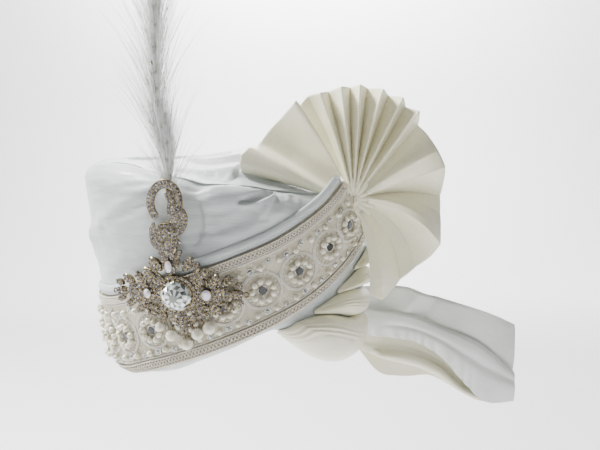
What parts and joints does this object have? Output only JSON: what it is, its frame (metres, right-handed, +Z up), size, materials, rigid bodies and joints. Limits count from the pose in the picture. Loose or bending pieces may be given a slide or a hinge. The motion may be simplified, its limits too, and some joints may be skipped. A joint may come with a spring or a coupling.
{
  "type": "tied turban pagri",
  "caption": "Ready-tied satin turban with an embroidered pearl band, jewelled swan brooch, feather plume, pleated side fan and hanging tail.",
  "frame": {"origin": "centre of the head opening at the level of the rim's lowest edge, where the head comes in", "axes": "+Z up when worn, -Y to the wearer's front, +X to the wearer's left"},
  "size_m": [0.3319, 0.2785, 0.359],
  "materials": {
    "white_satin": "bluish white satin with a soft sheen",
    "ivory_satin": "ivory satin with a soft sheen",
    "embroidered_net": "warm beige net with raised cords and small beads",
    "braided_lace": "cream and silver braided lace",
    "pearl": "ivory imitation pearl",
    "antique_gold": "antique champagne gold set with small clear stones",
    "cut_glass": "clear faceted glass",
    "feather": "fine white feather hairs"
  },
  "bodies": {
    "root": {"crown": "white_satin", "top_fold_1": "white_satin", "top_fold_2": "white_satin", "front_fold": "white_satin", "binding": "white_satin", "fan": "ivory_satin", "fan_loop": "ivory_satin", "tuck_1": "ivory_satin", "tuck_2": "ivory_satin", "tuck_3": "ivory_satin", "tuck_4": "ivory_satin", "tail_fold": "ivory_satin", "tail_main": "ivory_satin", "tail_inner": "ivory_satin", "band": "embroidered_net", "lace_upper": "braided_lace", "lace_lower": "braided_lace", "flower_1": "pearl", "flower_2": "pearl", "flower_3": "pearl", "flower_4": "pearl", "flower_5": "pearl", "flower_6": "pearl", "flower_7": "pearl", "pearl_drop_1": "pearl", "pearl_drop_2": "pearl", "pearl_drop_3": "pearl", "pearl_drop_4": "pearl", "pearl_drop_5": "pearl", "brooch": "antique_gold", "centre_stone": "cut_glass", "plume": "feather"}
  },
  "joints": []
}
